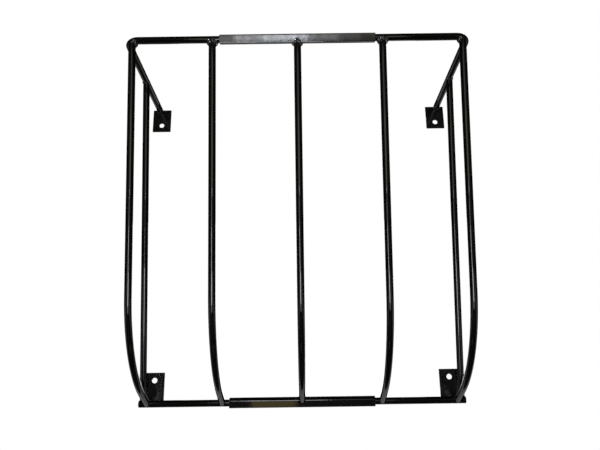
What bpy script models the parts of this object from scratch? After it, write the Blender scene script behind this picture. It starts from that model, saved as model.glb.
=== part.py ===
# Wall hay rack: a welded tube basket for loose hay that bolts to a stable wall.
# Two bent tube frames carry the wall plates, and a middle section of two square
# sleeves and one bar slides over their rail ends.
# Metres, +Z up. The origin is on the wall, midway across, level with the underside
# of the bottom rails. The front of the rack faces -Y.

import math

import bmesh
import bpy
from mathutils import Matrix, Vector

# Stock
TUBE_DIAMETER = 0.015875
TUBE_WALL = 0.0016
SLEEVE_WALL = 0.00125
SLEEVE_CORNER_RADIUS = 0.0022
PLATE_THICKNESS = 0.0032
PLATE_CORNER_RADIUS = 0.0015

# Overall frame, between tube axes except the width
RACK_WIDTH = 0.762
RACK_HEIGHT = 0.762
RACK_DEPTH = 0.330
CORNER_BEND_RADIUS = 0.0254

# Vertical bars
INNER_BAR_OFFSET = 0.1865
OUTER_BAR_INSET = 0.019
BAR_LEAN = math.radians(10.5)
BAR_KNEE_HEIGHT = 0.0737
BAR_BEND_RADIUS = 0.254

# Uprights between the arms and the lower plates
UPRIGHT_REACH = 0.155
UPRIGHT_FOOT_HEIGHT = 0.037

# Square sleeves of the middle section
SLEEVE_LENGTH = 0.340
SLEEVE_TURN = math.radians(25.0)
SPIGOT_LENGTH = 0.0762
SLIDE_CLEARANCE = 0.00035

# Wall plates
PLATE_WIDTH = 0.0476
UPPER_PLATE_HEIGHT = 0.063
UPPER_PLATE_INSET = 0.0066
LOWER_PLATE_HEIGHT = 0.0794
HOLE_DIAMETER = 0.0127
HOLE_EDGE_DISTANCE = 0.018

# Welds and the gap that touching pieces keep
COLLAR_RADIUS = 0.0032
COLLAR_OFFSET = 0.0012
BEAD_RADIUS = 0.0024
BEAD_OFFSET = 0.001
FOOT_WELD_REACH = math.radians(80.0)
OUTER_FOOT_WELD_START = math.radians(-10.0)
SEAM_END_MARGIN = 0.003
ARM_WELD_MARGIN = math.radians(16.0)
GAP = 0.0003
SPACE_OVERRUN = 0.002

# Mesh fineness
TUBE_SIDES = 16
BEAD_SIDES = 6
BEAD_POINTS = 16
HOLE_SIDES = 24
KNEE_STEPS = 8
CORNER_STEPS = 6
SLEEVE_CORNER_STEPS = 2

# Values worked out from the sizes above
TUBE_RADIUS = TUBE_DIAMETER / 2
SLEEVE_SIDE = TUBE_DIAMETER + 2 * (SLIDE_CLEARANCE + SLEEVE_WALL)
BOTTOM_RAIL_Y = -(PLATE_THICKNESS + GAP + TUBE_RADIUS)
BOTTOM_RAIL_Z = TUBE_RADIUS
TOP_RAIL_Y = -RACK_DEPTH
TOP_RAIL_Z = BOTTOM_RAIL_Z + RACK_HEIGHT
CORNER_X = RACK_WIDTH / 2 - TUBE_RADIUS
OUTER_BAR_X = RACK_WIDTH / 2 - OUTER_BAR_INSET
SPIGOT_END_X = SLEEVE_LENGTH / 2 - SPIGOT_LENGTH
UPPER_PLATE_X = CORNER_X - UPPER_PLATE_INSET
LOWER_PLATE_X = CORNER_X - PLATE_WIDTH / 2
SIDES = {"left": -1, "right": 1}

BLACK_ENAMEL = (0.010, 0.010, 0.011)
BEAD_ENAMEL = (0.018, 0.018, 0.019)


def clear_scene():
    for thing in list(bpy.data.objects):
        bpy.data.objects.remove(thing, do_unlink=True)


def new_collection(name, hidden=False):
    collection = bpy.data.collections.new(name)
    collection.hide_render = hidden
    bpy.context.scene.collection.children.link(collection)
    return collection


def enamel(name, colour, roughness):
    """Black stove enamel for one piece."""
    material = bpy.data.materials.new(name)
    material.use_nodes = True
    shader = material.node_tree.nodes["Principled BSDF"]
    shader.inputs["Base Color"].default_value = (*colour, 1.0)
    shader.inputs["Roughness"].default_value = roughness
    shader.inputs["Metallic"].default_value = 0.0
    return material


def finish(thing, colour=BLACK_ENAMEL, roughness=0.28):
    """Gives a piece its paint and smooth round sides."""
    thing.data.materials.append(enamel(thing.name + "_enamel", colour, roughness))
    thing.data.shade_smooth()
    thing.data.set_sharp_from_angle(angle=math.radians(35.0))
    return thing


def mesh_object(name, mesh, collection, origin=Vector((0, 0, 0))):
    thing = bpy.data.objects.new(name, mesh)
    thing.location = origin
    collection.objects.link(thing)
    return thing


def as_cutter(thing):
    thing.hide_render = True
    thing.display_type = "WIRE"
    return thing


def cut(piece, *cutters):
    for cutter in cutters:
        modifier = piece.modifiers.new("cut_" + cutter.name, "BOOLEAN")
        modifier.operation = "DIFFERENCE"
        modifier.solver = "EXACT"
        modifier.object = cutter
    return piece


def rounded_path(corners, radius, steps):
    """Straight runs between corner points, each inner corner rounded to a radius."""
    path = [corners[0]]
    for before, corner, after in zip(corners, corners[1:], corners[2:]):
        back = (before - corner).normalized()
        ahead = (after - corner).normalized()
        half_angle = back.angle(ahead) / 2
        centre = corner + (back + ahead).normalized() * radius / math.sin(half_angle)
        start = corner + back * radius / math.tan(half_angle)
        turn = math.pi - 2 * half_angle
        axis = ahead.cross(back).normalized()
        for step in range(steps + 1):
            swing = Matrix.Rotation(turn * step / steps, 3, axis)
            path.append(centre + swing @ (start - centre))
    path.append(corners[-1])
    return path


def swept_mesh(name, path, radius, sides, closed_ring=False, capped=True):
    """Round section swept along a path, whose first point becomes the mesh's origin."""
    curve = bpy.data.curves.new(name, "CURVE")
    curve.dimensions = "3D"
    curve.bevel_depth = radius
    curve.bevel_resolution = (sides - 4) // 2
    curve.use_fill_caps = capped
    spline = curve.splines.new("POLY")
    spline.points.add(len(path) - 1)
    for point, place in zip(spline.points, path):
        point.co = (*(place - path[0]), 1.0)
    spline.use_cyclic_u = closed_ring
    guide = bpy.data.objects.new(name, curve)
    bpy.context.scene.collection.objects.link(guide)
    graph = bpy.context.evaluated_depsgraph_get()
    mesh = bpy.data.meshes.new_from_object(guide.evaluated_get(graph))
    bpy.data.objects.remove(guide, do_unlink=True)
    bpy.data.curves.remove(curve)
    work = bmesh.new()
    work.from_mesh(mesh)
    bmesh.ops.remove_doubles(work, verts=work.verts, dist=1e-6)
    bmesh.ops.recalc_face_normals(work, faces=work.faces)
    work.to_mesh(mesh)
    work.free()
    mesh.name = name
    return mesh


def hollow(piece, wall):
    """Wall thickness grown inwards from the outer surface."""
    modifier = piece.modifiers.new("wall", "SOLIDIFY")
    modifier.thickness = wall
    modifier.offset = -1.0
    modifier.use_even_offset = True
    return piece


def tube(name, path):
    """Open-ended round tube along a path."""
    mesh = swept_mesh(name, path, TUBE_RADIUS, TUBE_SIDES, capped=False)
    return finish(hollow(mesh_object(name, mesh, PARTS, path[0]), TUBE_WALL))


def tube_space(name, path):
    """The room that a tube takes, with the gap round it, run on a little past its ends."""
    first = path[0] + (path[0] - path[1]).normalized() * SPACE_OVERRUN
    last = path[-1] + (path[-1] - path[-2]).normalized() * SPACE_OVERRUN
    run = [first] + path[1:-1] + [last]
    mesh = swept_mesh(name + "_space", run, TUBE_RADIUS + GAP, TUBE_SIDES)
    return as_cutter(mesh_object(name + "_space", mesh, CUTTERS, first))


def block_mesh(name, size):
    work = bmesh.new()
    bmesh.ops.create_cube(work, size=1.0)
    bmesh.ops.scale(work, verts=work.verts, vec=size)
    mesh = bpy.data.meshes.new(name)
    work.to_mesh(mesh)
    work.free()
    return mesh


def block_space(name, centre, size, turn=0.0):
    thing = mesh_object(name + "_space", block_mesh(name + "_space", size), CUTTERS, centre)
    thing.rotation_euler.x = turn
    return as_cutter(thing)


def round_edges(mesh, along, radius, steps):
    """Rounds the block's edges that run along one axis."""
    work = bmesh.new()
    work.from_mesh(mesh)
    edges = []
    for edge in work.edges:
        run = edge.verts[1].co - edge.verts[0].co
        if abs(run[along]) > 0.99 * run.length:
            edges.append(edge)
    bmesh.ops.bevel(work, geom=edges, offset=radius, segments=steps, profile=0.5, affect="EDGES")
    work.to_mesh(mesh)
    work.free()


def square_sleeve(name, centre):
    """Square tube with round corners, open at both ends, turned about its length."""
    mesh = block_mesh(name, (SLEEVE_LENGTH, SLEEVE_SIDE, SLEEVE_SIDE))
    round_edges(mesh, 0, SLEEVE_CORNER_RADIUS, SLEEVE_CORNER_STEPS)
    work = bmesh.new()
    work.from_mesh(mesh)
    ends = [face for face in work.faces if abs(face.normal.x) > 0.99]
    bmesh.ops.delete(work, geom=ends, context="FACES_ONLY")
    work.to_mesh(mesh)
    work.free()
    thing = mesh_object(name, mesh, PARTS, centre)
    thing.rotation_euler.x = SLEEVE_TURN
    return finish(hollow(thing, SLEEVE_WALL))


def wall_plate(name, centre, height, hole_height):
    """Flat plate against the wall with one bolt hole."""
    mesh = block_mesh(name, (PLATE_WIDTH, PLATE_THICKNESS, height))
    round_edges(mesh, 1, PLATE_CORNER_RADIUS, 2)
    plate = mesh_object(name, mesh, PARTS, centre)
    work = bmesh.new()
    bmesh.ops.create_cone(
        work,
        cap_ends=True,
        segments=HOLE_SIDES,
        radius1=HOLE_DIAMETER / 2,
        radius2=HOLE_DIAMETER / 2,
        depth=3 * PLATE_THICKNESS,
    )
    drill = bpy.data.meshes.new(name + "_drill")
    work.to_mesh(drill)
    work.free()
    place = Vector((centre.x, centre.y, hole_height))
    cutter = as_cutter(mesh_object(name + "_drill", drill, CUTTERS, place))
    cutter.rotation_euler.x = math.pi / 2
    return finish(cut(plate, cutter), roughness=0.38)


def clearance_to_tube(path):
    """Distance from a point to the outside of a tube that follows the path."""

    def clearance(point):
        nearest = math.inf
        for start, end in zip(path, path[1:]):
            run = end - start
            share = max(0.0, min(1.0, (point - start).dot(run) / run.length_squared))
            nearest = min(nearest, (point - start - run * share).length)
        return nearest - TUBE_RADIUS

    return clearance


def clearance_to_sleeve(centre):
    """Distance from a point to the outside of a turned square sleeve."""
    unturn = Matrix.Rotation(-SLEEVE_TURN, 3, "X")
    half = Vector((SLEEVE_LENGTH, SLEEVE_SIDE, SLEEVE_SIDE)) / 2

    def clearance(point):
        local = unturn @ (point - centre)
        beyond = Vector([max(abs(a) - b, 0.0) for a, b in zip(local, half)])
        return beyond.length

    return clearance


def bead_path(end, outward, clearance, offset=BEAD_OFFSET, arc=(-math.pi, math.pi)):
    """Points round a tube's end where a bead lies against the tube and its neighbour."""
    across = outward.cross(Vector((1.0, 0.0, 0.0))).normalized()
    other = outward.cross(across)
    sweep = arc[1] - arc[0]
    count = round(BEAD_POINTS * abs(sweep) / (2 * math.pi))
    points = []
    for index in range(count):
        angle = arc[0] + sweep * (index + 0.5) / count
        spoke = across * math.cos(angle) + other * math.sin(angle)
        base = end + spoke * (TUBE_RADIUS + offset)
        travel = 2 * TUBE_DIAMETER
        room = clearance(base + outward * travel) - offset
        while travel > 0 and room > 1e-5:
            travel = max(0.0, travel - room)
            room = clearance(base + outward * travel) - offset
        points.append(base + outward * travel)
    return points


def weld(name, points, spaces, radius=BEAD_RADIUS, ring=True):
    """Weld bead along its points, clear of the pieces that it joins."""
    mesh = swept_mesh(name, points, radius, BEAD_SIDES, closed_ring=ring, capped=not ring)
    bead = mesh_object(name, mesh, PARTS, points[0])
    return finish(cut(bead, *spaces), BEAD_ENAMEL, 0.34)


def bar_path(x):
    """Axis of a vertical bar, from the top rail's axis to the bottom rail's."""
    top = Vector((x, TOP_RAIL_Y, TOP_RAIL_Z))
    foot = Vector((x, BOTTOM_RAIL_Y, BOTTOM_RAIL_Z))
    knee_drop = RACK_HEIGHT - BAR_KNEE_HEIGHT
    knee = top + Vector((0, knee_drop * math.tan(BAR_LEAN), -knee_drop))
    return rounded_path([top, knee, foot], BAR_BEND_RADIUS, KNEE_STEPS)


def welded_bar(name, x, above, below, foot_arc=(-FOOT_WELD_REACH, FOOT_WELD_REACH)):
    """Bar with a weld collar under the top rail and a bead over its foot, on the arc given.

    above and below hold a neighbour's space and clearance.
    """
    path = bar_path(x)
    bar = cut(tube(name, path), above[0], below[0])
    space = tube_space(name, path)
    down = (path[1] - path[0]).normalized()
    up = (path[-2] - path[-1]).normalized()
    collar = bead_path(path[0], down, above[1], COLLAR_OFFSET)
    bead = bead_path(path[-1], up, below[1], arc=foot_arc)
    top_weld = weld(name + "_top_weld", collar, [space, above[0]], radius=COLLAR_RADIUS)
    foot_weld = weld(name + "_foot_weld", bead, [space, below[0]], ring=False)
    return bar, space, top_weld, foot_weld


def top_rail_path(side):
    return rounded_path(
        [
            Vector((side * SPIGOT_END_X, TOP_RAIL_Y, TOP_RAIL_Z)),
            Vector((side * CORNER_X, TOP_RAIL_Y, TOP_RAIL_Z)),
            Vector((side * CORNER_X, -(PLATE_THICKNESS + GAP), TOP_RAIL_Z)),
        ],
        CORNER_BEND_RADIUS,
        CORNER_STEPS,
    )


def bottom_rail_path(side):
    return [
        Vector((side * SPIGOT_END_X, BOTTOM_RAIL_Y, BOTTOM_RAIL_Z)),
        Vector((side * RACK_WIDTH / 2, BOTTOM_RAIL_Y, BOTTOM_RAIL_Z)),
    ]


def upright_path(side):
    """Straight line whose back meets the plate at the foot height, run on to the rail."""
    top = Vector((side * CORNER_X, -UPRIGHT_REACH, TOP_RAIL_Z))
    seat = Vector((side * CORNER_X, BOTTOM_RAIL_Y, BOTTOM_RAIL_Z + UPRIGHT_FOOT_HEIGHT))
    run = (seat - top) / (top.z - seat.z)
    return [top, top + run * RACK_HEIGHT]


def arm_weld_points(side):
    """Half ring under the arm's end, where the tube stands on the upper plate."""
    reach = TUBE_RADIUS + BEAD_OFFSET
    steps = BEAD_POINTS // 2
    sweep = math.pi - 2 * ARM_WELD_MARGIN
    points = []
    for index in range(steps + 1):
        angle = math.pi + ARM_WELD_MARGIN + sweep * index / steps
        x = side * CORNER_X + reach * math.cos(angle)
        z = TOP_RAIL_Z + reach * math.sin(angle)
        points.append(Vector((x, -(PLATE_THICKNESS + BEAD_OFFSET), z)))
    return points


def seam_weld_points(side):
    """Straight bead in the crevice between the lower plate and the bottom rail."""
    y = -(PLATE_THICKNESS + BEAD_OFFSET)
    level = y - BOTTOM_RAIL_Y
    rise = math.sqrt((TUBE_RADIUS + BEAD_OFFSET) ** 2 - level**2)
    inner = LOWER_PLATE_X - PLATE_WIDTH / 2 + SEAM_END_MARGIN
    outer = CORNER_X - TUBE_RADIUS - SEAM_END_MARGIN
    return [Vector((side * x, y, BOTTOM_RAIL_Z + rise)) for x in (inner, outer)]


def side_frame(label, side):
    """One end of the rack: rails, arm, two bars, the upright and both wall plates."""
    top_path = top_rail_path(side)
    bottom_path = bottom_rail_path(side)
    upright_line = upright_path(side)
    top_name = "top_rail_" + label
    bottom_name = "bottom_rail_" + label
    upright_name = "upright_" + label
    pieces = [tube(top_name, top_path), tube(bottom_name, bottom_path)]
    top_space = tube_space(top_name, top_path)
    bottom_space = tube_space(bottom_name, bottom_path)

    upper_centre = Vector((side * UPPER_PLATE_X, -PLATE_THICKNESS / 2, TOP_RAIL_Z - UPPER_PLATE_HEIGHT / 2))
    lower_centre = Vector((side * LOWER_PLATE_X, -PLATE_THICKNESS / 2, LOWER_PLATE_HEIGHT / 2))
    upper_hole = TOP_RAIL_Z - UPPER_PLATE_HEIGHT + HOLE_EDGE_DISTANCE
    lower_hole = LOWER_PLATE_HEIGHT - HOLE_EDGE_DISTANCE
    pieces.append(wall_plate("upper_plate_" + label, upper_centre, UPPER_PLATE_HEIGHT, upper_hole))
    pieces.append(wall_plate("lower_plate_" + label, lower_centre, LOWER_PLATE_HEIGHT, lower_hole))
    grown = Vector((GAP, GAP, GAP)) * 2
    upper_size = Vector((PLATE_WIDTH, PLATE_THICKNESS, UPPER_PLATE_HEIGHT)) + grown
    lower_size = Vector((PLATE_WIDTH, PLATE_THICKNESS, LOWER_PLATE_HEIGHT)) + grown
    upper_space = block_space("upper_plate_" + label, upper_centre, upper_size)
    lower_space = block_space("lower_plate_" + label, lower_centre, lower_size)

    rails = (top_space, clearance_to_tube(top_path)), (bottom_space, clearance_to_tube(bottom_path))
    inner_side = (side * OUTER_FOOT_WELD_START, side * FOOT_WELD_REACH)
    outer = welded_bar("outer_bar_" + label, side * OUTER_BAR_X, *rails, foot_arc=inner_side)
    inner = welded_bar("inner_bar_" + label, side * INNER_BAR_OFFSET, *rails)
    outer_space = outer[1]
    for bar, space, top_weld, foot_weld in (outer, inner):
        pieces += [bar, top_weld, foot_weld]

    upright_space = tube_space(upright_name, upright_line)
    cut(outer[3], upright_space)
    behind_depth = 2 * TUBE_DIAMETER
    behind_centre = Vector((side * CORNER_X, behind_depth / 2 - PLATE_THICKNESS - GAP, lower_centre.z))
    behind_size = Vector((2 * TUBE_DIAMETER, behind_depth, 2 * LOWER_PLATE_HEIGHT))
    behind_space = block_space(upright_name + "_back", behind_centre, behind_size)
    upright = cut(tube(upright_name, upright_line), top_space, bottom_space, behind_space, outer_space)
    down = (upright_line[1] - upright_line[0]).normalized()
    upright_ring = bead_path(upright_line[0], down, clearance_to_tube(top_path))
    pieces.append(upright)
    pieces.append(weld(upright_name + "_top_weld", upright_ring, [upright_space, top_space]))
    pieces.append(weld("arm_weld_" + label, arm_weld_points(side), [top_space, upper_space], ring=False))
    pieces.append(weld("seam_weld_" + label, seam_weld_points(side), [bottom_space, lower_space], ring=False))
    return pieces


def middle_section():
    """Two square sleeves joined by the centre bar."""
    top_centre = Vector((0, TOP_RAIL_Y, TOP_RAIL_Z))
    bottom_centre = Vector((0, BOTTOM_RAIL_Y, BOTTOM_RAIL_Z))
    size = Vector((SLEEVE_LENGTH, SLEEVE_SIDE, SLEEVE_SIDE)) + Vector((0, GAP, GAP)) * 2
    pieces = [square_sleeve("top_sleeve", top_centre), square_sleeve("bottom_sleeve", bottom_centre)]
    above = block_space("top_sleeve", top_centre, size, SLEEVE_TURN), clearance_to_sleeve(top_centre)
    below = block_space("bottom_sleeve", bottom_centre, size, SLEEVE_TURN), clearance_to_sleeve(bottom_centre)
    bar, space, top_weld, foot_weld = welded_bar("centre_bar", 0.0, above, below)
    return pieces + [bar, top_weld, foot_weld]


def group(name, place, pieces):
    """Parents a section's pieces to an empty on its slide axis."""
    empty = bpy.data.objects.new(name, None)
    empty.location = place
    PARTS.objects.link(empty)
    bpy.context.view_layer.update()
    for piece in pieces:
        piece.parent = empty
        piece.matrix_parent_inverse = empty.matrix_world.inverted()
    return empty


clear_scene()
PARTS = new_collection("wall_hay_rack")
CUTTERS = new_collection("cutters", hidden=True)
for label, side in SIDES.items():
    group(label + "_frame", Vector((side * SLEEVE_LENGTH / 2, TOP_RAIL_Y, TOP_RAIL_Z)), side_frame(label, side))
group("centre_section", Vector((0, TOP_RAIL_Y, TOP_RAIL_Z)), middle_section())
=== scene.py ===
import math

import bmesh
import bpy
import numpy as np
from mathutils import Matrix, Vector


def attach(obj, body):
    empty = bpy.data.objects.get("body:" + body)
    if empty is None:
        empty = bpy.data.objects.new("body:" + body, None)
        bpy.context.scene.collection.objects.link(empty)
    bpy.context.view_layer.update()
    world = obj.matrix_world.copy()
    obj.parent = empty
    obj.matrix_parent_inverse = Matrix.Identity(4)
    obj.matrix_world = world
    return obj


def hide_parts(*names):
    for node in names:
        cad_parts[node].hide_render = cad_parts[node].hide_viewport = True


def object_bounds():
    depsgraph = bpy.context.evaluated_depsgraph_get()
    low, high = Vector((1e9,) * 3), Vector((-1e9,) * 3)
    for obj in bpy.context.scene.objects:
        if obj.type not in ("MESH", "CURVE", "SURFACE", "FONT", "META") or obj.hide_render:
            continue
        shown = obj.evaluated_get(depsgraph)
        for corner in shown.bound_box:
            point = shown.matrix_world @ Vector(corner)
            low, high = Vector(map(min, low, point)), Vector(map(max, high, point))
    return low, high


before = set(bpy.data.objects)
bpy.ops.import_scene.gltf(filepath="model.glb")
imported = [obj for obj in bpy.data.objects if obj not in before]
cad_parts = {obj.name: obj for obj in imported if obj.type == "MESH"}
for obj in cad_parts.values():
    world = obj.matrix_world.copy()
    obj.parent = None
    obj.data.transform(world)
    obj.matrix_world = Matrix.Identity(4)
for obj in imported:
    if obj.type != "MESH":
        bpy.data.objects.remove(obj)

cad_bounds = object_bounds()

# Looks of the wall hay rack. Each CAD solid is replaced by a finer piece in its own
# place, in metres, +Z up. The origin is on the wall, midway across, level with the
# underside of the bottom rails. The front of the rack faces -Y.

# Sizes, as in the CAD source
TUBE_DIAMETER = 0.015875
TUBE_WALL = 0.0016
SLEEVE_WALL = 0.00125
SLEEVE_CORNER_RADIUS = 0.0022
SLEEVE_LENGTH = 0.340
SLEEVE_TURN = math.radians(25.0)
SPIGOT_LENGTH = 0.0762
SLIDE_CLEARANCE = 0.00035
PLATE_THICKNESS = 0.0032
PLATE_WIDTH = 0.0476
PLATE_CORNER_RADIUS = 0.0015
UPPER_PLATE_HEIGHT = 0.063
UPPER_PLATE_INSET = 0.0066
LOWER_PLATE_HEIGHT = 0.0794
HOLE_DIAMETER = 0.0127
HOLE_EDGE_DISTANCE = 0.018
RACK_WIDTH = 0.762
RACK_HEIGHT = 0.762
RACK_DEPTH = 0.330
CORNER_BEND_RADIUS = 0.0254
INNER_BAR_OFFSET = 0.1865
OUTER_BAR_INSET = 0.019
BAR_LEAN = math.radians(10.5)
BAR_KNEE_HEIGHT = 0.0737
BAR_BEND_RADIUS = 0.254
UPRIGHT_REACH = 0.155
UPRIGHT_FOOT_HEIGHT = 0.037
SEAM_END_MARGIN = 0.003
GAP = 0.0003

# Values worked out from them
TUBE_RADIUS = TUBE_DIAMETER / 2
SLEEVE_SIDE = TUBE_DIAMETER + 2 * (SLIDE_CLEARANCE + SLEEVE_WALL)
SPIGOT_END_X = SLEEVE_LENGTH / 2 - SPIGOT_LENGTH
OUTER_BAR_OFFSET = RACK_WIDTH / 2 - OUTER_BAR_INSET
BOTTOM_RAIL_Y = -(PLATE_THICKNESS + GAP + TUBE_RADIUS)
BOTTOM_RAIL_Z = TUBE_RADIUS
TOP_RAIL_Y = -RACK_DEPTH
TOP_RAIL_Z = BOTTOM_RAIL_Z + RACK_HEIGHT
CORNER_X = RACK_WIDTH / 2 - TUBE_RADIUS
UPPER_PLATE_X = CORNER_X - UPPER_PLATE_INSET
UPPER_PLATE_LOW = TOP_RAIL_Z - UPPER_PLATE_HEIGHT
LOWER_PLATE_X = CORNER_X - PLATE_WIDTH / 2

# Mesh fineness
TUBE_SIDES = 48
RING_SPACING = 0.012
BEND_STEPS = 28
SLEEVE_CORNER_STEPS = 8
SLEEVE_STATIONS = 9
PLATE_CORNER_STEPS = 5
PLATE_RIM_STEPS = 3
HOLE_SIDES = 64
DRILL_DEPTH = 0.02
BEAD_STEPS = 144
BEAD_MARKS = 11
SEAM_STEPS = 72
SEAM_MARKS = 9
DROP_SUBDIVISIONS = 3

# Eased edges
SLEEVE_END_EDGE = 0.0003
SLEEVE_FLAT_MARGIN = 0.0004
SLEEVE_END_STATION = 0.001
SLEEVE_INNER_STATION = 0.02
PLATE_RIM = 0.0005
PLATE_RIM_ANGLE = 50.0

# Smooth shading up to these angles between faces, in degrees
TUBE_SHARP = 35.0
BEAD_SHARP = 60.0
ALL_SMOOTH = 180.0

# Coped tube ends: distance from the joint to the last square ring
TOP_COPE = 0.028
FOOT_COPE = 0.026

# Room cut from an upright's foot
SPACE_OVERRUN = 0.01
BACK_SPACE_HALF_WIDTH = 0.02
BACK_SPACE_DEPTH = 0.05
BACK_SPACE_LOW = -0.05
BACK_SPACE_HIGH = 0.16

# Weld beads round tube ends: the leg on the tube and the leg on its neighbour, and
# arcs in degrees. The outer bars' arc is for the right side and is mirrored on the left.
# A tongue lengthens the front of the centre bar's top bead.
BAR_TOP_LEGS = (0.0070, 0.0052)
BAR_FOOT_LEGS = (0.0032, 0.0030)
UPRIGHT_TOP_LEGS = (0.0038, 0.0036)
ARM_LEGS = (0.0034, 0.0036)
BAR_FOOT_ARC = (-80.0, 80.0)
OUTER_BAR_FOOT_ARC = (10.0, -80.0)
ARM_ARC = (-76.0, 76.0)
RING_RIPPLES = 15
ARM_RIPPLES = 9
FOOT_RIPPLES = 8
BEAD_FULLNESS = 0.72
BAR_TOP_FULLNESS = 0.80
CENTRE_TONGUE = 0.5
TONGUE_POWER = 14
BEAD_CROWN = 0.0021
BEAD_SINK = 0.0003
BEAD_ROOT = 0.0006
BEAD_SEARCH = 0.030
BLOB_SIZES = (0.86, 1.14)
RIPPLE_PEAK = 0.35
RIPPLE_FALL = 1.6
RIPPLE_SHARE = 0.14
END_POWER = 6
BEAD_END = 0.0025

# Straight seam bead between a lower plate and the bottom rail
SEAM_RIPPLES = 10
SEAM_BLOBS = (0.85, 1.15)
SEAM_RIPPLE_FALL = 0.9
SEAM_END = 0.003
SEAM_CLIMB = 0.0062
SEAM_SPREAD = 0.62
SEAM_START = math.pi / 2 - 0.05
SEAM_CROWN = 0.0012
SEAM_SINK = 0.0001
SEAM_ROOT = 0.0005

# Drops of weld metal on the rails, scattered beside each bar: how far away, their
# radii, and their places round the rail, in degrees up from its front
DROP_REACH = (0.0155, 0.033)
DROP_RADII = (0.0003, 0.0007)
DROP_SQUASH = (0.75, 1.25)
DROP_SINK = 0.25
TOP_DROPS, TOP_DROP_ARC = 3, (-50, 20)
BOTTOM_DROPS, BOTTOM_DROP_ARC = 4, (-15, 70)
# Larger ones that the photo shows on the bottom rail: x, radius and place round it
LARGE_DROPS = {
    "left": ((-0.3460, 0.0018, 14),),
    "right": ((0.1915, 0.0010, 6), (0.2010, 0.0009, 8)),
}

# Limits of the sums
SLOPE_STEP = 1e-5
MARCH_STEPS = 60
MARCH_CLOSE = 1e-6
PARALLEL = 0.99
SHORTEST_SIDE = 0.1
SHORTEST_FRONT = 0.2

# Seeds of the random draws, and what each piece adds to its section's seed
SEEDS = {"left": 7, "right": 107, "centre": 91}
OUTER_BAR_SEED, INNER_BAR_SEED, UPRIGHT_SEED, ARM_SEED, SEAM_SEED = 1, 2, 3, 5, 6
TOP_DROP_SEED, BOTTOM_DROP_SEED, DROP_SHAPE_SEED, FOOT_BEAD_SEED = 20, 30, 40, 50


# Paths

def on_top_rail(x):
    return Vector((x, TOP_RAIL_Y, TOP_RAIL_Z))


def on_bottom_rail(x):
    return Vector((x, BOTTOM_RAIL_Y, BOTTOM_RAIL_Z))


def rounded_path(corners, radius):
    """Straight runs between corner points, each inner corner rounded to a radius."""
    path = [corners[0]]
    for before, corner, after in zip(corners, corners[1:], corners[2:]):
        back = (before - corner).normalized()
        ahead = (after - corner).normalized()
        half = back.angle(ahead) / 2
        centre = corner + (back + ahead).normalized() * radius / math.sin(half)
        spoke = corner + back * radius / math.tan(half) - centre
        axis = ahead.cross(back).normalized()
        turn = math.pi - 2 * half
        for step in range(BEND_STEPS + 1):
            path.append(centre + Matrix.Rotation(turn * step / BEND_STEPS, 3, axis) @ spoke)
    path.append(corners[-1])
    return path


def bar_path(x):
    drop = RACK_HEIGHT - BAR_KNEE_HEIGHT
    knee = on_top_rail(x) + Vector((0, drop * math.tan(BAR_LEAN), -drop))
    return rounded_path([on_top_rail(x), knee, on_bottom_rail(x)], BAR_BEND_RADIUS)


def top_rail_path(side):
    arm_end = Vector((side * CORNER_X, -(PLATE_THICKNESS + GAP), TOP_RAIL_Z))
    corners = [on_top_rail(side * SPIGOT_END_X), on_top_rail(side * CORNER_X), arm_end]
    return rounded_path(corners, CORNER_BEND_RADIUS)


def bottom_rail_path(side):
    return [on_bottom_rail(side * SPIGOT_END_X), on_bottom_rail(side * RACK_WIDTH / 2)]


def upright_path(side):
    """From the side arm towards the lower plate, and past it to be cut off there."""
    top = Vector((side * CORNER_X, -UPRIGHT_REACH, TOP_RAIL_Z))
    seat = on_bottom_rail(side * CORNER_X) + Vector((0, 0, UPRIGHT_FOOT_HEIGHT))
    run = (seat - top) / (top.z - seat.z)
    return [top, top + run * RACK_HEIGHT]


def resampled(path, first_step=0.0, last_step=0.0):
    """Adds rings along the straight runs, the first and last ones clear of the joints."""
    out = [path[0]]
    for index, (start, end) in enumerate(zip(path, path[1:])):
        run = end - start
        low = first_step if index == 0 else 0.0
        high = run.length - (last_step if index == len(path) - 2 else 0.0)
        count = max(1, round((high - low) / RING_SPACING))
        marks = [low + (high - low) * k / count for k in range(count + 1)]
        if index > 0 or first_step == 0:
            marks = marks[1:]
        out += [start + run * (mark / run.length) for mark in marks]
    if last_step > 0:
        out.append(path[-1])
    return out


# Distances to neighbours

def to_tube(path):
    points = np.array([list(p) for p in path])
    starts, runs = points[:-1], points[1:] - points[:-1]
    lengths = (runs**2).sum(1)

    def distance(p):
        share = np.clip(((p - starts) * runs).sum(1) / lengths, 0, 1)
        near = starts + runs * share[:, None]
        return math.sqrt(((p - near) ** 2).sum(1).min()) - TUBE_RADIUS

    return distance


def to_sleeve(y, z):
    c, s = math.cos(-SLEEVE_TURN), math.sin(-SLEEVE_TURN)
    flat = SLEEVE_SIDE / 2 - SLEEVE_CORNER_RADIUS

    def distance(p):
        dy, dz = p[1] - y, p[2] - z
        a = abs(c * dy - s * dz) - flat
        b = abs(s * dy + c * dz) - flat
        outside = math.hypot(max(a, 0.0), max(b, 0.0))
        return outside + min(max(a, b), 0.0) - SLEEVE_CORNER_RADIUS

    return distance


def to_plate(p):
    return -PLATE_THICKNESS - p[1]


def slope(distance, p):
    """Unit direction in which a distance grows fastest."""
    steps = np.eye(3) * SLOPE_STEP
    growth = np.array([distance(p + step) - distance(p - step) for step in steps])
    return growth / np.linalg.norm(growth)


def march(distance, base, direction, clear, limit):
    """Point where a line from base first comes within clear of a neighbour, or its limit."""
    travel = 0.0
    for _ in range(MARCH_STEPS):
        room = distance(base + direction * travel) - clear
        if room < MARCH_CLOSE or travel >= limit:
            break
        travel = min(travel + room, limit)
    return base + direction * travel


# Meshes and objects

def linked(name, data):
    thing = bpy.data.objects.new(name, data)
    bpy.context.scene.collection.objects.link(thing)
    return thing


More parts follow.
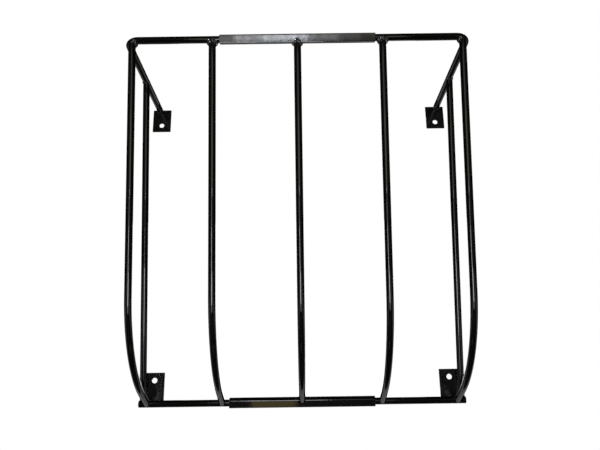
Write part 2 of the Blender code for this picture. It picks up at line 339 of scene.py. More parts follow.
def helper(name, mesh, place=(0, 0, 0), turn=(0, 0, 0)):
    thing = linked(name, mesh)
    thing.location = place
    thing.rotation_euler = turn
    bpy.context.view_layer.update()
    return thing


def mesh_from(name, work):
    mesh = bpy.data.meshes.new(name)
    work.to_mesh(mesh)
    work.free()
    return mesh


def face_outwards(mesh):
    work = bmesh.new()
    work.from_mesh(mesh)
    bmesh.ops.recalc_face_normals(work, faces=work.faces)
    work.to_mesh(mesh)
    work.free()
    return mesh


def dress(thing, material, sharp=TUBE_SHARP):
    """Gives a piece its material, and smooth shading up to an angle between faces."""
    face_outwards(thing.data)
    thing.data.materials.clear()
    thing.data.materials.append(material)
    thing.data.shade_smooth()
    thing.data.set_sharp_from_angle(angle=math.radians(sharp))
    return thing


def skin_mesh(name, rings, closed):
    """Faces from each ring of points to the next, the last joined to the first or both capped."""
    count, size = len(rings), len(rings[0])
    faces = []
    for i in range(count if closed else count - 1):
        after = (i + 1) % count
        for j in range(size):
            k = (j + 1) % size
            faces.append((i * size + j, i * size + k, after * size + k, after * size + j))
    if not closed:
        faces.append(tuple(range(size)))
        faces.append(tuple(range((count - 1) * size, count * size)))
    mesh = bpy.data.meshes.new(name)
    mesh.from_pydata([tuple(point) for ring in rings for point in ring], [], faces)
    return face_outwards(mesh)


def box_work(size):
    work = bmesh.new()
    bmesh.ops.create_cube(work, size=1.0)
    bmesh.ops.scale(work, verts=work.verts, vec=size)
    return work


def applied(thing):
    graph = bpy.context.evaluated_depsgraph_get()
    mesh = bpy.data.meshes.new_from_object(thing.evaluated_get(graph))
    thing.modifiers.clear()
    old = thing.data
    thing.data = mesh
    bpy.data.meshes.remove(old)
    return thing


def cut_with(thing, cutters):
    for cutter in cutters:
        modifier = thing.modifiers.new("cut", "BOOLEAN")
        modifier.operation = "DIFFERENCE"
        modifier.solver = "EXACT"
        modifier.object = cutter
    applied(thing)
    for cutter in cutters:
        bpy.data.objects.remove(cutter, do_unlink=True)


def settle(thing, body, slot, *nodes):
    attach(thing, body)
    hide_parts(*nodes)


# Materials

# Where a Mix node keeps its factor and its two colours, and the colour that they give
MIX_COLOUR_INPUTS = (0, 6, 7)
MIX_COLOUR_OUTPUT = 2


class Nodes:
    """Short way to make and join shader nodes."""

    def __init__(self, tree):
        self.tree = tree

    def make(self, kind, **values):
        node = self.tree.nodes.new(kind)
        for key, value in values.items():
            setattr(node, key, value)
        return node

    def feed(self, socket, value):
        """A constant goes on the socket itself, and anything else is joined to it."""
        if isinstance(value, (int, float, tuple)):
            socket.default_value = value
        else:
            self.tree.links.new(value, socket)

    def place(self, scale=(1, 1, 1)):
        mapping = self.make("ShaderNodeMapping")
        self.feed(mapping.inputs["Scale"], scale)
        self.feed(mapping.inputs["Vector"], self.make("ShaderNodeTexCoord").outputs["Object"])
        return mapping.outputs["Vector"]

    def noise(self, vector, scale, detail=4.0, rough=0.55):
        node = self.make("ShaderNodeTexNoise")
        self.feed(node.inputs["Scale"], scale)
        self.feed(node.inputs["Detail"], detail)
        self.feed(node.inputs["Roughness"], rough)
        self.feed(node.inputs["Vector"], vector)
        return node.outputs["Fac"]

    def span(self, value, source, target=(0.0, 1.0), curve="LINEAR"):
        """Carries the source range over to the target range, and holds its ends."""
        node = self.make("ShaderNodeMapRange", interpolation_type=curve, clamp=True)
        for key, number in zip(("From Min", "From Max", "To Min", "To Max"), source + target):
            self.feed(node.inputs[key], number)
        self.feed(node.inputs["Value"], value)
        return node.outputs["Result"]

    def mix(self, factor, first, second):
        node = self.make("ShaderNodeMix", data_type="RGBA")
        for number, value in zip(MIX_COLOUR_INPUTS, (factor, first, second)):
            self.feed(node.inputs[number], value)
        return node.outputs[MIX_COLOUR_OUTPUT]

    def maths(self, operation, first, second):
        node = self.make("ShaderNodeMath", operation=operation)
        self.feed(node.inputs[0], first)
        self.feed(node.inputs[1], second)
        return node.outputs[0]

    def times(self, first, second):
        return self.maths("MULTIPLY", first, second)

    def vector_maths(self, operation, *values):
        node = self.make("ShaderNodeVectorMath", operation=operation)
        for socket, value in zip(node.inputs, values):
            self.feed(socket, value)
        return node

    def normal(self):
        return self.make("ShaderNodeNewGeometry").outputs["Normal"]

    def facets(self, vector, scale, tilt):
        """Normals turned at random in each small cell, and a little down, like sagging metal."""
        cells = self.make("ShaderNodeTexVoronoi", feature="SMOOTH_F1")
        self.feed(cells.inputs["Scale"], scale)
        self.feed(cells.inputs["Smoothness"], FACET_SMOOTHNESS)
        self.feed(cells.inputs["Vector"], vector)
        centred = self.vector_maths("SUBTRACT", cells.outputs["Color"], FACET_CENTRE)
        scaled = self.vector_maths("SCALE", centred.outputs[0])
        self.feed(scaled.inputs["Scale"], tilt)
        turned = self.vector_maths("ADD", self.normal(), scaled.outputs[0])
        return self.vector_maths("NORMALIZE", turned.outputs[0]).outputs[0]

    def bump(self, height, strength, distance, below=None):
        node = self.make("ShaderNodeBump")
        self.feed(node.inputs["Strength"], strength)
        self.feed(node.inputs["Distance"], distance)
        self.feed(node.inputs["Height"], height)
        if below is not None:
            self.feed(node.inputs["Normal"], below)
        return node.outputs["Normal"]

    def light_paths(self):
        """Camera rays, and the reflected and refracted rays together."""
        path = self.make("ShaderNodeLightPath").outputs
        shiny = self.maths("MAXIMUM", path["Is Glossy Ray"], path["Is Transmission Ray"])
        return path["Is Camera Ray"], shiny


def new_material(name):
    material = bpy.data.materials.new(name)
    material.use_nodes = True
    tree = material.node_tree
    return material, Nodes(tree), tree.nodes["Principled BSDF"].inputs


# Grain of the enamel: noise scales in cells a metre, how far two of them are stretched,
# and the levels of each noise between which its marks grow from none to full
CLOUD_GRAIN = 14.0
GRIT_GRAIN = 420.0
RUB_GRAIN = 60.0
SCUFF_GRAIN = 210.0
CHIP_GRAIN = 230.0
PEEL_GRAIN = 900.0
RUN_GRAIN = 130.0
FACET_GRAIN = 560.0
RUN_STRETCH = (1.0, 1.0, 0.22)
SCUFF_STRETCH = (1.0, 1.0, 7.0)
DUST_CLOUDS = (0.45, 0.72)
DUST_GRITS = (0.5, 0.66)
SCUFF_CLOUDS = (0.50, 0.62)
SCUFF_LEVELS = (0.66, 0.72)
CHIP_LEVELS = (0.50, 0.57)
RUB_LEVELS = (0.35, 0.7)
FACET_SMOOTHNESS = 0.2
FACET_CENTRE = (0.5, 0.5, 0.78)

# Wear: bevel samples, cosines of the turn at an edge, and what bare spots add
EDGE_SAMPLES = 6
EDGE_COSINES = (0.985, 0.90)
WORN_ROUGHNESS = 0.28
SCUFF = (0.030, 0.029, 0.027, 1)
STEEL = (0.060, 0.050, 0.040, 1)

# Bump heights in metres
PEEL_HEIGHT = 0.00006
RUN_HEIGHT = 0.0006
PIT_HEIGHT = 0.0001
PIT_STRENGTH = 0.4


def enamel(name, base, dusty, rough, peel, runs, dust=0.25, ior=1.5, worn=0.6, edge=0.0008,
           coarse=0.0, scuffs=0.5):
    """Black stove enamel: orange peel, runs, dust, fine scuffs, and edges rubbed to the steel."""
    material, n, shader = new_material(name)
    where = n.place()
    streak = n.place(RUN_STRETCH)
    cloud = n.noise(where, CLOUD_GRAIN, detail=5.0)
    grit = n.noise(where, GRIT_GRAIN, detail=3.0)
    rub = n.noise(streak, RUB_GRAIN, detail=6.0, rough=0.6)
    dusting = n.times(n.span(cloud, DUST_CLOUDS), n.span(grit, DUST_GRITS, (0.0, dust)))
    colour = n.mix(dusting, base, dusty)

    scuff = n.noise(n.place(SCUFF_STRETCH), SCUFF_GRAIN, detail=2.0, rough=0.5)
    scuffed = n.times(n.span(scuff, SCUFF_LEVELS, (0.0, scuffs)), n.span(cloud, SCUFF_CLOUDS))
    colour = n.mix(scuffed, colour, SCUFF)

    rounded = n.make("ShaderNodeBevel", samples=EDGE_SAMPLES)
    n.feed(rounded.inputs["Radius"], edge)
    turn = n.vector_maths("DOT_PRODUCT", rounded.outputs["Normal"], n.normal())
    at_edge = n.span(turn.outputs["Value"], EDGE_COSINES)
    chips = n.noise(where, CHIP_GRAIN, detail=6.0, rough=0.68)
    bare = n.times(at_edge, n.span(chips, CHIP_LEVELS, (0.0, worn)))
    n.feed(shader["Base Color"], n.mix(bare, colour, STEEL))

    roughness = n.span(rub, RUB_LEVELS, rough)
    worn_away = n.maths("ADD", scuffed, bare)
    roughness = n.maths("ADD", roughness, n.times(worn_away, WORN_ROUGHNESS))
    n.feed(shader["Roughness"], roughness)
    n.feed(shader["IOR"], ior)

    facets = n.facets(where, FACET_GRAIN, coarse) if coarse > 0 else None
    fine = n.bump(n.noise(where, PEEL_GRAIN, detail=2.0), peel, PEEL_HEIGHT, facets)
    broad = n.bump(n.noise(streak, RUN_GRAIN, detail=3.0), runs, RUN_HEIGHT, fine)
    pits = n.bump(n.times(bare, -1.0), PIT_STRENGTH, PIT_HEIGHT, broad)
    n.feed(shader["Normal"], pits)
    return material


TUBE = enamel("tube_enamel", base=(0.0018, 0.0017, 0.0015, 1), dusty=(0.012, 0.011, 0.009, 1),
              rough=(0.05, 0.09), peel=0.12, runs=0.12)
SLEEVE = enamel("sleeve_enamel", base=(0.0020, 0.0020, 0.0022, 1), dusty=(0.022, 0.022, 0.022, 1),
                rough=(0.05, 0.10), peel=0.10, runs=0.07, ior=1.75, scuffs=0.15)
PLATE = enamel("plate_enamel", base=(0.0022, 0.0022, 0.0022, 1), dusty=(0.042, 0.041, 0.038, 1),
               rough=(0.12, 0.22), peel=0.8, runs=0.7, dust=0.8, edge=0.0012)
BEAD = enamel("weld_enamel", base=(0.0025, 0.0025, 0.0025, 1), dusty=(0.026, 0.024, 0.020, 1),
              rough=(0.04, 0.10), peel=0.2, runs=0.6, dust=0.4, ior=1.75, worn=0.35, coarse=0.95)


# Tubes, sleeves and plates

def frames_along(path):
    """Points, tangents and one square direction at each point, carried along untwisted."""
    points = np.array([list(p) for p in path])
    run = np.diff(points, axis=0)
    run /= np.linalg.norm(run, axis=1)[:, None]
    tangents = np.vstack([run[:1], run[:-1] + run[1:], run[-1:]])
    tangents /= np.linalg.norm(tangents, axis=1)[:, None]
    side = np.cross(tangents[0], [1.0, 0.0, 0.0])
    if np.linalg.norm(side) < SHORTEST_SIDE:
        side = np.cross(tangents[0], [0.0, 0.0, 1.0])
    side /= np.linalg.norm(side)
    sides = []
    for tangent in tangents:
        side = side - tangent * side.dot(tangent)
        side /= np.linalg.norm(side)
        sides.append(side.copy())
    return points, tangents, np.array(sides)


def tube_rings(path, radius, start_cut=None, end_cut=None):
    """Rings round a path, the end ones square or coped to a neighbour."""
    points, tangents, sides = frames_along(path)
    angles = 2 * math.pi * np.arange(TUBE_SIDES) / TUBE_SIDES
    rings = []
    for point, tangent, side in zip(points, tangents, sides):
        other = np.cross(tangent, side)
        spokes = np.cos(angles)[:, None] * side + np.sin(angles)[:, None] * other
        rings.append(point + radius * spokes)
    if start_cut:
        reach = np.linalg.norm(points[1] - points[0])
        rings[0] = np.array([march(start_cut, q, -tangents[1], GAP, reach) for q in rings[1]])
    if end_cut:
        reach = np.linalg.norm(points[-1] - points[-2])
        rings[-1] = np.array([march(end_cut, q, tangents[-2], GAP, reach) for q in rings[-2]])
    return rings


def tube_piece(name, path, start_cut=None, end_cut=None):
    outer = tube_rings(path, TUBE_RADIUS, start_cut, end_cut)
    inner = tube_rings(path, TUBE_RADIUS - TUBE_WALL, start_cut, end_cut)
    return dress(linked(name, skin_mesh(name, outer + inner[::-1], closed=True)), TUBE)


def section_ring(inset):
    """The sleeve's square section, drawn in all round, with a point close to each flat's ends."""
    half, radius = SLEEVE_SIDE / 2 - inset, SLEEVE_CORNER_RADIUS - inset
    flat = half - radius
    ring = []
    for quarter in range(4):
        turn = quarter * math.pi / 2
        local = [(half, -flat + SLEEVE_FLAT_MARGIN), (half, flat - SLEEVE_FLAT_MARGIN)]
        for step in range(SLEEVE_CORNER_STEPS + 1):
            a = step / SLEEVE_CORNER_STEPS * math.pi / 2
            local.append((flat + radius * math.cos(a), flat + radius * math.sin(a)))
        c, s = math.cos(turn), math.sin(turn)
        ring += [(y * c - z * s, y * s + z * c) for y, z in local]
    return ring


def sleeve_piece(name, y, z):
    """Square tube, turned about its length, with eased ends."""
    outer, inner = section_ring(0.0), section_ring(SLEEVE_WALL)
    shrunk, widened = section_ring(SLEEVE_END_EDGE), section_ring(SLEEVE_WALL - SLEEVE_END_EDGE)
    half = SLEEVE_LENGTH / 2
    inside = half - SLEEVE_INNER_STATION
    stations = [half - SLEEVE_END_EDGE, half - SLEEVE_END_STATION]
    loops = [(shrunk, -half)] + [(outer, -x) for x in stations]
    loops += [(outer, x) for x in np.linspace(-inside, inside, SLEEVE_STATIONS)]
    loops += [(outer, x) for x in reversed(stations)] + [(shrunk, half)]
    loops += [(widened, half), (inner, stations[0]), (inner, -stations[0]), (widened, -half)]
    c, s = math.cos(SLEEVE_TURN), math.sin(SLEEVE_TURN)
    rings = [[(x, y + c * p - s * q, z + s * p + c * q) for p, q in ring] for ring, x in loops]
    return dress(linked(name, skin_mesh(name, rings, closed=True)), SLEEVE)


def plate_piece(name, x, low, height, hole_z):
    """Flat plate with rounded corners, eased edges and a drilled hole."""
    work = box_work((PLATE_WIDTH, PLATE_THICKNESS, height))
    through = [e for e in work.edges
               if abs((e.verts[0].co - e.verts[1].co).normalized().y) > PARALLEL]
    bmesh.ops.bevel(work, geom=through, offset=PLATE_CORNER_RADIUS, segments=PLATE_CORNER_STEPS,
                    profile=0.5, affect="EDGES")
    bmesh.ops.translate(work, verts=work.verts, vec=(x, -PLATE_THICKNESS / 2, low + height / 2))
    plate = helper(name, mesh_from(name, work))

    work = bmesh.new()
    bmesh.ops.create_cone(work, cap_ends=True, segments=HOLE_SIDES, radius1=HOLE_DIAMETER / 2,
                          radius2=HOLE_DIAMETER / 2, depth=DRILL_DEPTH)
    drill = helper(name + "_drill", mesh_from("drill", work), (x, 0, hole_z), (math.pi / 2, 0, 0))
    cut_with(plate, [drill])

    dress(plate, PLATE, ALL_SMOOTH)
    rim = plate.modifiers.new("rim", "BEVEL")
    rim.width = PLATE_RIM
    rim.segments = PLATE_RIM_STEPS
    rim.limit_method = "ANGLE"
    rim.angle_limit = math.radians(PLATE_RIM_ANGLE)
    flats = plate.modifiers.new("flats", "WEIGHTED_NORMAL")
    flats.keep_sharp = False
    return applied(plate)


# Welds

def bead_curve(first, middle, last, marks):
    return [(1 - m) ** 2 * first + 2 * m * (1 - m) * middle + m**2 * last
            for m in np.linspace(0, 1, marks)]


def rippled(turns, blobs, fall):
    """Waves of a bead at places counted in ripples, and the ripples' own sizes, blended."""
    number = np.floor(turns).astype(int)
    phase = turns - number
    sizes = blobs[number % len(blobs)] * (1 - phase) + blobs[(number + 1) % len(blobs)] * phase
    return 1 - (phase - RIPPLE_PEAK) ** 2 * fall, sizes


def end_taper(along, least):
    """One over most of a bead, and less near its ends, where along is -1 and 1."""
    return np.sqrt(np.clip(1 - along**END_POWER, least, 1))


def fillet(name, end, outward, neighbour, seed, legs, arc=None, tongue=0.0,
           ripples=RING_RIPPLES, fullness=BEAD_FULLNESS):
    """Weld bead between a tube's end and its neighbour, all round or over an arc in radians.

    The arc is measured from the spoke nearest the front, or from the lowest one where the
    tube points straight at the wall.
    """
    rng = np.random.default_rng(seed)
    end = np.array(end)
    outward = np.array(outward)
    outward /= np.linalg.norm(outward)
    front, down = np.array([0.0, -1.0, 0.0]), np.array([0.0, 0.0, -1.0])
    u = front - outward * front.dot(outward)
    if np.linalg.norm(u) < SHORTEST_FRONT:
        u = down - outward * down.dot(outward)
    u /= np.linalg.norm(u)
    v = np.cross(outward, u)
    counter = np.arange(BEAD_STEPS) / BEAD_STEPS
    if arc is None:
        angles = 2 * math.pi * counter
        swell = np.ones(BEAD_STEPS)
    else:
        angles = np.linspace(arc[0], arc[1], BEAD_STEPS)
        swell = end_taper(np.linspace(-1, 1, BEAD_STEPS), BEAD_END)
    blobs = rng.uniform(*BLOB_SIZES, ripples + 1)[:ripples]
    waves, sizes = rippled(counter * ripples, blobs, RIPPLE_FALL)
    rings = []
    for angle, grow, wave, size in zip(angles, swell, waves, sizes):
        spoke = u * math.cos(angle) + v * math.sin(angle)
        base = end + spoke * TUBE_RADIUS - outward * BEAD_SEARCH
        joint = march(neighbour, base, outward, 0.0, BEAD_SEARCH)
        normal = slope(neighbour, joint)
        away = spoke + outward
        side = away - normal * away.dot(normal)
        side /= np.linalg.norm(side)
        over = max(0.0, spoke.dot(normal)) * BEAD_CROWN * grow * wave * size
        leg = grow * (1 - RIPPLE_SHARE + RIPPLE_SHARE * wave) * size
        longer = 1 + tongue * max(0.0, math.cos(angle)) ** TONGUE_POWER
        first = joint - outward * legs[0] * leg - spoke * BEAD_SINK
        last = joint + side * legs[1] * leg * longer
        last = last - slope(neighbour, last) * (neighbour(last) + BEAD_SINK)
        bulge = (first - joint) * fullness * wave + (last - joint) * fullness * wave
        middle = joint + bulge + (spoke + normal) * over
        ring = bead_curve(first, middle, last, BEAD_MARKS)
        ring.append(joint - normal * BEAD_ROOT - spoke * BEAD_ROOT)
        rings.append(ring)
    mesh = skin_mesh(name, rings, closed=arc is None)
    return dress(linked(name, mesh), BEAD, BEAD_SHARP)


def seam_bead(name, side, seed):
    """Straight bead in the crevice between the lower plate and the bottom rail."""
    rng = np.random.default_rng(seed)
    low = LOWER_PLATE_X - PLATE_WIDTH / 2 + SEAM_END_MARGIN
    high = CORNER_X - TUBE_RADIUS - SEAM_END_MARGIN
    rise = math.sqrt(TUBE_RADIUS**2 - (TUBE_RADIUS - GAP) ** 2)
    sunk = TUBE_RADIUS - BEAD_SINK
    shares = np.linspace(0, 1, SEAM_STEPS)
    blobs = rng.uniform(*SEAM_BLOBS, SEAM_RIPPLES + 2)
    waves, sizes = rippled(shares * SEAM_RIPPLES, blobs, SEAM_RIPPLE_FALL)
    swells = end_taper(2 * shares - 1, SEAM_END) * sizes * waves
    rings = []
    for share, swell in zip(shares, swells):
        x = side * (low + (high - low) * share)
        joint = np.array([x, -PLATE_THICKNESS - SEAM_SINK, BOTTOM_RAIL_Z + rise])
        first = joint + np.array([0, BEAD_SINK, SEAM_CLIMB * swell])
        angle = SEAM_START + SEAM_SPREAD * swell
        last = np.array([x, BOTTOM_RAIL_Y + sunk * math.cos(angle),
                         BOTTOM_RAIL_Z + sunk * math.sin(angle)])
        middle = (first + last) / 2 + np.array([0, -SEAM_CROWN, SEAM_CROWN]) * swell
        ring = bead_curve(first, middle, last, SEAM_MARKS)
        ring.append(joint + np.array([0, 2 * SEAM_SINK, -SEAM_ROOT]))
        rings.append(ring)
    return dress(linked(name, skin_mesh(name, rings, closed=False)), BEAD, BEAD_SHARP)


def scattered_drops(axis, seed, count, arc):
    """Drops beside a joint, on the rail's front and top, towards the rack's middle."""
    rng = np.random.default_rng(seed)
    drops = []
    for _ in range(count):
        nearer = Vector((-math.copysign(rng.uniform(*DROP_REACH), axis.x), 0, 0))
        drops.append((axis + nearer, rng.uniform(*DROP_RADII), rng.uniform(*arc)))
    return drops


def spatter(label, side, seed):
    """Small drops of weld metal on one frame's rails."""
    drops = []
    for number, offset in enumerate((OUTER_BAR_OFFSET, INNER_BAR_OFFSET)):
        drops += scattered_drops(on_top_rail(side * offset), seed + TOP_DROP_SEED + number,
                                 TOP_DROPS, TOP_DROP_ARC)
        drops += scattered_drops(on_bottom_rail(side * offset), seed + BOTTOM_DROP_SEED + number,
                                 BOTTOM_DROPS, BOTTOM_DROP_ARC)
    drops += [(on_bottom_rail(x), radius, turn) for x, radius, turn in LARGE_DROPS[label]]

    rng = np.random.default_rng(seed + DROP_SHAPE_SEED)
    work = bmesh.new()
    for axis, radius, turn in drops:
        turn = math.radians(turn)
        facing = Vector((0, -math.cos(turn), math.sin(turn)))
        place = axis + facing * (TUBE_RADIUS - radius * DROP_SINK)
        made = bmesh.ops.create_icosphere(work, subdivisions=DROP_SUBDIVISIONS, radius=radius)
        squash = Vector(rng.uniform(*DROP_SQUASH, 3))
        for vertex in made["verts"]:
            vertex.co = Vector(a * b for a, b in zip(vertex.co, squash)) + place
    name = "spatter_" + label
    thing = dress(helper(name, mesh_from(name, work)), BEAD, ALL_SMOOTH)
    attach(thing, label + "_frame")


# The rack

def bar(name, x, body, above, below, seed, tongue=0.0, foot_arc=BAR_FOOT_ARC):
    """A bar coped to the rails or sleeves that it joins, with its two beads."""
    path = bar_path(x)
    tube = tube_piece(name + "_tube", resampled(path, TOP_COPE, FOOT_COPE), above, below)
    settle(tube, body, "tube_enamel", name)
    up = (path[0] - path[1]).normalized()
    down = (path[-1] - path[-2]).normalized()
    top_bead = fillet(name + "_top_bead", path[0], up, above, seed, BAR_TOP_LEGS, tongue=tongue,
                      fullness=BAR_TOP_FULLNESS)
    settle(top_bead, body, "weld_enamel", name + "_top_weld")
    arc = [math.pi + math.radians(angle) for angle in sorted(foot_arc)]
    foot_bead = fillet(name + "_foot_bead", path[-1], down, below, seed + FOOT_BEAD_SEED,
                       BAR_FOOT_LEGS, arc=arc, ripples=FOOT_RIPPLES)
    settle(foot_bead, body, "weld_enamel", name + "_foot_weld")


def upright(name, side, body, above, seed):
    """The brace from the side arm down to the lower plate, clear of the rail and outer bar."""
    line = upright_path(side)
    tube = tube_piece(name + "_tube", resampled(line, TOP_COPE), above)
    rail = bottom_rail_path(side)
    rail[1] += Vector((side * SPACE_OVERRUN, 0, 0))
    spaces = [
        helper(space, skin_mesh(space, tube_rings(path, TUBE_RADIUS + GAP), closed=False))
        for space, path in (("rail_space", rail), ("bar_space", bar_path(side * OUTER_BAR_OFFSET)))
    ]
    low = Vector((side * CORNER_X - BACK_SPACE_HALF_WIDTH, -PLATE_THICKNESS - GAP, BACK_SPACE_LOW))
    high = Vector((side * CORNER_X + BACK_SPACE_HALF_WIDTH, BACK_SPACE_DEPTH, BACK_SPACE_HIGH))
    back = helper("back_space", mesh_from("back_space", box_work(high - low)), (low + high) / 2)
    cut_with(tube, [back] + spaces)
    settle(dress(tube, TUBE), body, "tube_enamel", name)
    up = (line[0] - line[1]).normalized()
    bead = fillet(name + "_top_bead", line[0], up, above, seed, UPRIGHT_TOP_LEGS)
    settle(bead, body, "weld_enamel", name + "_top_weld")


def side_frame(label, side):
    body, seed = label + "_frame", SEEDS[label]
    top, bottom = top_rail_path(side), bottom_rail_path(side)
    above, below = to_tube(top), to_tube(bottom)
    for which, path in (("top_rail_", top), ("bottom_rail_", bottom)):
        rail = tube_piece(which + label + "_tube", resampled(path))
        settle(rail, body, "tube_enamel", which + label)
    bar("outer_bar_" + label, side * OUTER_BAR_OFFSET, body, above, below, seed + OUTER_BAR_SEED,
        foot_arc=[side * angle for angle in OUTER_BAR_FOOT_ARC])
    bar("inner_bar_" + label, side * INNER_BAR_OFFSET, body, above, below, seed + INNER_BAR_SEED)
    upright("upright_" + label, side, body, above, seed + UPRIGHT_SEED)

    for which, x, low, height, hole_z in (
        ("upper", UPPER_PLATE_X, UPPER_PLATE_LOW, UPPER_PLATE_HEIGHT,
         UPPER_PLATE_LOW + HOLE_EDGE_DISTANCE),
        ("lower", LOWER_PLATE_X, 0.0, LOWER_PLATE_HEIGHT,
         LOWER_PLATE_HEIGHT - HOLE_EDGE_DISTANCE),
    ):
        node = which + "_plate_" + label
        plate = plate_piece(node + "_steel", side * x, low, height, hole_z)
        settle(plate, body, "plate_enamel", node)

    arm_end = Vector((side * CORNER_X, 0.0, TOP_RAIL_Z))
    arm_bead = fillet("arm_bead_" + label, arm_end, Vector((0, 1, 0)), to_plate, seed + ARM_SEED,
                      ARM_LEGS, arc=[math.radians(angle) for angle in ARM_ARC],
                      ripples=ARM_RIPPLES)
    settle(arm_bead, body, "weld_enamel", "arm_weld_" + label)
    seam = seam_bead("seam_bead_" + label, side, seed + SEAM_SEED)
    settle(seam, body, "weld_enamel", "seam_weld_" + label)
    spatter(label, side, seed)


def middle_section():
    body = "centre_section"
    top, bottom = (TOP_RAIL_Y, TOP_RAIL_Z), (BOTTOM_RAIL_Y, BOTTOM_RAIL_Z)
    for name, axis in (("top_sleeve", top), ("bottom_sleeve", bottom)):
        settle(sleeve_piece(name + "_tube", *axis), body, "sleeve_enamel", name)
    bar("centre_bar", 0.0, body, to_sleeve(*top), to_sleeve(*bottom), SEEDS["centre"],
        tongue=CENTRE_TONGUE)


side_frame("left", -1)
side_frame("right", 1)
middle_section()


# Stage

FLOOR_Z = -0.6
FLOOR_SIZE = (12.0, 12.0)
CARD_LIFT = 0.01
STRIP_LIFT = 0.015
WARM_CARD_LIFT = 0.02
FLOOR_COLOUR = (0.80, 0.80, 0.80, 1)
DARK = (0.03, 0.03, 0.03, 1)
WARM_CARD_COLOUR = (0.90, 0.70, 0.30, 1)
CARD_ROUGHNESS = 0.7
STRIP_SIZE = (0.05, 0.62)
STRIP_Y = 0.66
STRIP_PLACES = (-0.44, -0.27, -0.09, 0.06, 0.26, 0.43)


def stage_plane(name, size, place, colour, shown=0.0, mirrored=0.0):
    """Flat card or floor; shown is added to it for the camera, and mirrored for reflections."""
    bpy.ops.mesh.primitive_plane_add(size=1.0, location=place)
    thing = bpy.context.object
    thing.scale = (size[0], size[1], 1.0)
    thing.name = name
    material, n, shader = new_material(name)
    n.feed(shader["Base Color"], colour)
    n.feed(shader["Roughness"], CARD_ROUGHNESS)
    if shown > 0:
        camera_ray, shiny = n.light_paths()
        added = n.maths("ADD", n.times(camera_ray, shown), n.times(shiny, mirrored))
        n.feed(shader["Emission Color"], (1, 1, 1, 1))
        n.feed(shader["Emission Strength"], added)
    thing.data.materials.append(material)
    return thing


stage_plane("studio_floor", FLOOR_SIZE, (0, 0, FLOOR_Z), FLOOR_COLOUR, shown=0.60, mirrored=0.22)

# Cards on the floor that only reflections see. The gaps between the dark ones give the
# bars' feet and the bottom rail their light streaks.
cards = [stage_plane("dark_strip_%d" % index, STRIP_SIZE, (x, STRIP_Y, FLOOR_Z + STRIP_LIFT), DARK)
         for index, x in enumerate(STRIP_PLACES)]
cards += [
    stage_plane("dark_card", (3.2, 6.45), (0, -2.855, FLOOR_Z + CARD_LIFT), DARK),
    stage_plane("dark_card_far", (3.2, 2.0), (0, 1.95, FLOOR_Z + CARD_LIFT), DARK),
    stage_plane("warm_card", (0.16, 0.16), (-0.10, -0.52, FLOOR_Z + WARM_CARD_LIFT),
                WARM_CARD_COLOUR),
]
for card in cards:
    card.visible_camera = False
    card.visible_diffuse = False
    card.visible_shadow = False

# The world: colours shared with the lamps, the light on the rack, and what it mirrors
WHITE = (1, 1, 1)
WARM = (1.0, 0.93, 0.80)
AMBIENT = 0.24
ROOM_LEVEL = 0.09
REAR_LEVELS = (0.01, 0.03)


def studio_world():
    """White for the camera and low behind the rack, a dim warm room in front, and dark sides."""
    world = bpy.data.worlds.new("studio")
    bpy.context.scene.world = world
    world.use_nodes = True
    n = Nodes(world.node_tree)
    n.tree.nodes.clear()
    out = n.make("ShaderNodeOutputWorld")

    def light(colour, strength):
        made = n.make("ShaderNodeBackground")
        n.feed(made.inputs["Color"], (*colour, 1))
        n.feed(made.inputs["Strength"], strength)
        return made.outputs[0]

    def joined(kind, *values):
        made = n.make(kind)
        for socket, value in zip(made.inputs, values):
            n.feed(socket, value)
        return made.outputs[0]

    split = n.make("ShaderNodeSeparateXYZ")
    n.feed(split.inputs[0], n.make("ShaderNodeTexCoord").outputs["Generated"])
    y, z = split.outputs["Y"], split.outputs["Z"]

    def band(value, source, target=(0.0, 1.0)):
        return n.span(value, source, target, "SMOOTHSTEP")

    behind = n.times(band(y, (0.75, 0.92)), band(z, (0.10, -0.02)))
    ahead = band(y, (-0.35, -0.80))
    not_high = band(z, (0.45, 0.10), (0.4, 1.0))
    not_low = band(z, (-0.30, -0.05))
    room = n.times(n.times(n.times(ahead, not_high), not_low), ROOM_LEVEL)
    rear = n.times(band(y, (0.30, 0.70), REAR_LEVELS), band(z, (0.75, 0.35), (0.2, 1.0)))

    back = n.maths("MAXIMUM", behind, rear)
    mirrored = joined("ShaderNodeAddShader", light(WHITE, back), light(WARM, room))
    camera_ray, shiny = n.light_paths()
    inner = joined("ShaderNodeMixShader", shiny, light(WHITE, AMBIENT), mirrored)
    surface = joined("ShaderNodeMixShader", camera_ray, inner, light(WHITE, 1.0))
    n.feed(out.inputs["Surface"], surface)


studio_world()


# Lamps

PANEL_Y = -1.56
SKY = (0.86, 0.92, 1.0)
CLEAR_SKY = (0.88, 0.93, 1.0)
HAZE = (0.93, 0.95, 1.0)
PALE_HAZE = (0.95, 0.96, 1.0)
CLOUD = (0.97, 0.96, 1.0)
PALE_CLOUD = (0.97, 0.97, 1.0)

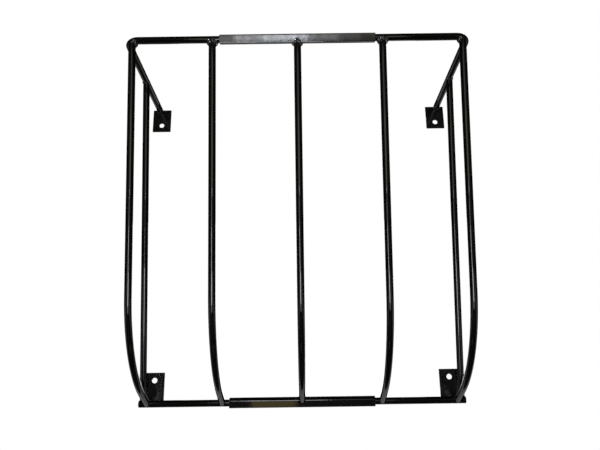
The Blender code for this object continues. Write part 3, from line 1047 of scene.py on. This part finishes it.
# Panels behind the camera, facing the rack: their left, right, low and high edges,
# radiance and colour. The window_top ones are what the top sleeve's front mirrors.
FRONT_PANELS = (
    ("window_foot", -0.24, 0.10, -0.50, -0.28, 5.0, SKY),
    ("window_lower", -0.26, 0.12, -0.28, 0.07, 13.0, SKY),
    ("window_middle", -0.36, -0.18, 0.07, 0.26, 14.0, CLOUD),
    ("window_upper", -0.36, -0.20, 0.26, 0.38, 5.0, CLOUD),
    ("window_top_left", -0.35, -0.26, 0.401, 0.424, 1.8, PALE_CLOUD),
    ("window_top_rise", -0.26, -0.15, 0.401, 0.424, 6.0, HAZE),
    ("window_top", -0.15, 0.04, 0.401, 0.424, 10.5, CLEAR_SKY),
    ("window_top_middle", 0.04, 0.17, 0.401, 0.424, 3.0, HAZE),
    ("window_top_right", 0.17, 0.265, 0.401, 0.424, 1.0, PALE_HAZE),
    ("glow_high", -0.45, 0.45, 0.74, 1.00, 0.85, WARM),
    ("glow_low", -0.45, 0.45, 0.435, 0.74, 1.35, WARM),
    ("room", -0.45, 0.45, -0.30, 0.45, 0.28, WARM),
)


def area(name, place, turn, size, radiance, colour):
    """Rectangular lamp of an even radiance, turned by angles in degrees."""
    lamp = bpy.data.lights.new(name, "AREA")
    lamp.shape = "RECTANGLE"
    lamp.size, lamp.size_y = size
    lamp.energy = radiance * math.pi * size[0] * size[1]
    lamp.color = colour
    thing = linked(name, lamp)
    thing.location = place
    thing.rotation_euler = [math.radians(angle) for angle in turn]


for name, left, right, low, high, radiance, colour in FRONT_PANELS:
    area(name, ((left + right) / 2, PANEL_Y, (low + high) / 2), (90, 0, 0),
         (right - left, high - low), radiance, colour)
area("rear_panel", (0.0, 2.6, 0.55), (-90, 0, 0), (1.6, 1.4), 2.5, WHITE)
area("glint_lamp", (-1.6, -0.9, 1.9), (53.3, 0, -66.4), (0.11, 0.11), 420.0, (1.0, 0.98, 0.95))


# Camera, fitted to the photo's tube edges

camera_data = bpy.data.cameras.new("camera")
camera_data.sensor_fit = "HORIZONTAL"
camera_data.sensor_width = 36.0
camera_data.lens = 36.7484
camera_data.clip_start = 0.05
camera = linked("camera", camera_data)
camera.location = (-0.00055, -1.49883, -0.00630)
camera.rotation_euler = [math.radians(angle) for angle in (106.6667, 0.7534, 0.1891)]
bpy.context.scene.camera = camera

bpy.context.scene.view_settings.view_transform = "Standard"

bpy.context.view_layer.update()
low, high = cad_bounds
